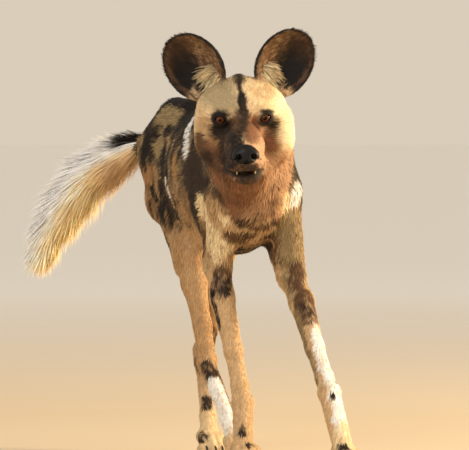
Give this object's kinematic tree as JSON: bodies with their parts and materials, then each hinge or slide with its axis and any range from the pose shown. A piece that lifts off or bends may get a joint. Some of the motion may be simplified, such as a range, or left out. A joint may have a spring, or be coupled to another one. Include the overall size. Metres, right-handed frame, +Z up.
{
  "type": "african wild dog",
  "caption": "Life-size standing model of an African wild dog in mid stride, with its head turned to its right, large round ears and a bushy tail swung to the same side.",
  "frame": {"origin": "on the floor, under the middle of the animal's bounding box", "axes": "+Z up, the dog faces -Y, its left side is +X"},
  "size_m": [0.3146, 0.9887, 0.7435],
  "materials": {
    "body_fur": "short coat in black, brown and tan patches",
    "head_fur": "short coat, tan with a dark muzzle and a rusty throat",
    "leg_fur": "very short coat, tan and white with dark spots",
    "ear_fur": "short dark brown fur with cream tufts inside",
    "tail_fur": "long loose hair, cream and white",
    "nose": "moist and black",
    "claw": "horn, dark",
    "eye": "wet, amber brown"
  },
  "bodies": {
    "root": {"head": "head_fur", "left_ear": "ear_fur", "left_eye": "eye", "left_fore_claw_1": "claw", "left_fore_claw_2": "claw", "left_fore_claw_3": "claw", "left_fore_claw_4": "claw", "left_fore_paw": "leg_fur", "left_forearm": "leg_fur", "left_hind_claw_1": "claw", "left_hind_claw_2": "claw", "left_hind_claw_3": "claw", "left_hind_claw_4": "claw", "left_hind_paw": "leg_fur", "left_metatarsus": "leg_fur", "left_shin": "leg_fur", "left_shoulder": "body_fur", "left_thigh": "body_fur", "left_wrist": "leg_fur", "lower_jaw": "head_fur", "neck": "head_fur", "nose": "nose", "right_ear": "ear_fur", "right_eye": "eye", "right_fore_claw_1": "claw", "right_fore_claw_2": "claw", "right_fore_claw_3": "claw", "right_fore_claw_4": "claw", "right_fore_paw": "leg_fur", "right_forearm": "leg_fur", "right_hind_claw_1": "claw", "right_hind_claw_2": "claw", "right_hind_claw_3": "claw", "right_hind_claw_4": "claw", "right_hind_paw": "leg_fur", "right_metatarsus": "leg_fur", "right_shin": "leg_fur", "right_shoulder": "body_fur", "right_thigh": "body_fur", "right_wrist": "leg_fur", "tail": "tail_fur", "trunk": "body_fur"}
  },
  "joints": []
}
